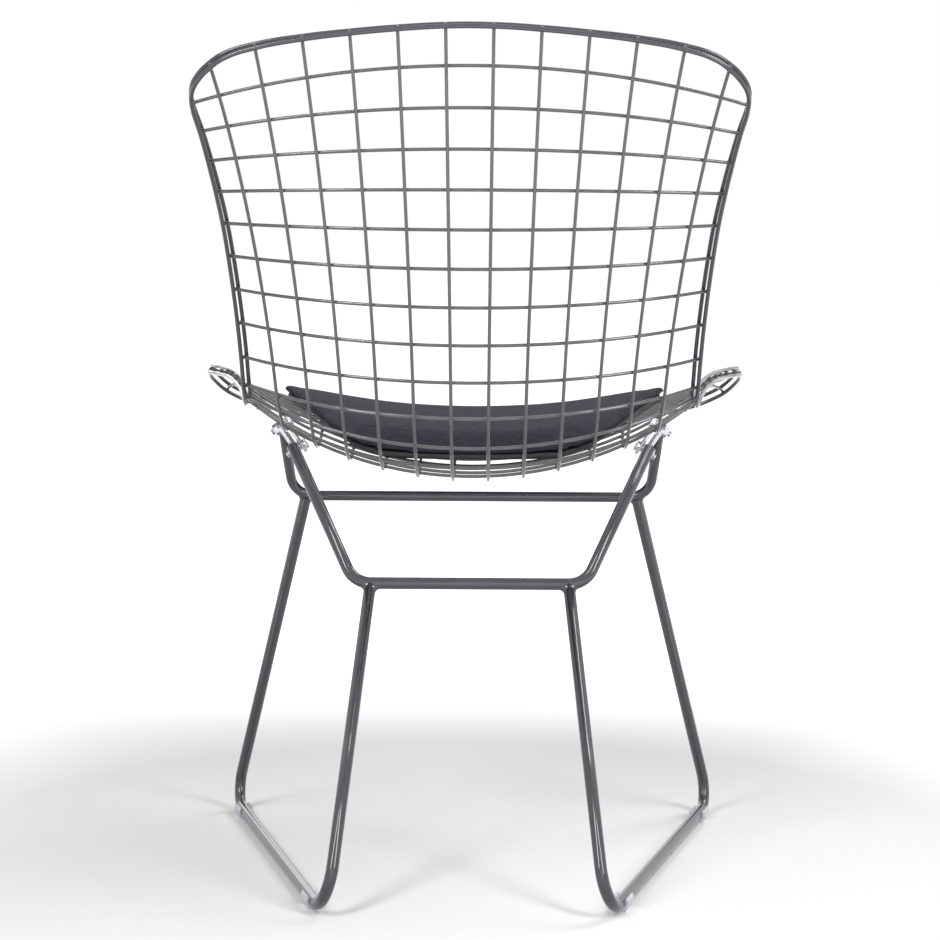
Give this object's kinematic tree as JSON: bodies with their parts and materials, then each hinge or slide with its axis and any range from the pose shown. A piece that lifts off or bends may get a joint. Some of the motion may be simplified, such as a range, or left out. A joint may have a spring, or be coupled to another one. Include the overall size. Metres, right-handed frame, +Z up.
{
  "type": "wire mesh chair",
  "caption": "Side chair with a one-piece dished wire net for seat and back, twin border rods, bent-rod sled base and a loose upholstered seat pad.",
  "frame": {"origin": "on the floor under the middle of the chair's bounding box", "axes": "+Z up, the sitter faces -Y, the sitter's left is +X"},
  "size_m": [0.558, 0.601, 0.7744],
  "materials": {
    "net_wire": "satin gunmetal grey enamel",
    "border_rod": "satin gunmetal grey enamel",
    "base_rod": "satin gunmetal grey enamel",
    "zinc": "bright zinc plate",
    "clear_plastic": "clear flexible plastic",
    "pad_board": "black moulded board",
    "upholstery": "charcoal upholstery"
  },
  "bodies": {
    "root": {"border_rod_inner": "border_rod", "border_rod_outer": "border_rod", "clamp_bolts": "zinc", "clamp_nuts": "zinc", "cross_wire_01": "net_wire", "cross_wire_02": "net_wire", "cross_wire_03": "net_wire", "cross_wire_04": "net_wire", "cross_wire_05": "net_wire", "cross_wire_06": "net_wire", "cross_wire_07": "net_wire", "cross_wire_08": "net_wire", "cross_wire_09": "net_wire", "cross_wire_10": "net_wire", "cross_wire_11": "net_wire", "cross_wire_12": "net_wire", "cross_wire_13": "net_wire", "cross_wire_14": "net_wire", "cross_wire_15": "net_wire", "cross_wire_16": "net_wire", "cross_wire_17": "net_wire", "cross_wire_18": "net_wire", "cross_wire_19": "net_wire", "cross_wire_20": "net_wire", "cross_wire_21": "net_wire", "cross_wire_22": "net_wire", "front_cross_frame": "base_rod", "glide_front_left": "clear_plastic", "glide_front_right": "clear_plastic", "glide_rear_left": "clear_plastic", "glide_rear_right": "clear_plastic", "long_wire_01": "net_wire", "long_wire_02": "net_wire", "long_wire_03": "net_wire", "long_wire_04": "net_wire", "long_wire_05": "net_wire", "long_wire_06": "net_wire", "long_wire_07": "net_wire", "long_wire_08": "net_wire", "long_wire_09": "net_wire", "long_wire_10": "net_wire", "long_wire_11": "net_wire", "long_wire_12": "net_wire", "lower_clamp_plates": "zinc", "rear_cross_frame": "base_rod", "seat_pad_board": "pad_board", "seat_pad_cushion": "upholstery", "side_rod_left": "base_rod", "side_rod_right": "base_rod", "upper_clamp_plates": "zinc", "wing_wire_left": "net_wire", "wing_wire_right": "net_wire"}
  },
  "joints": []
}
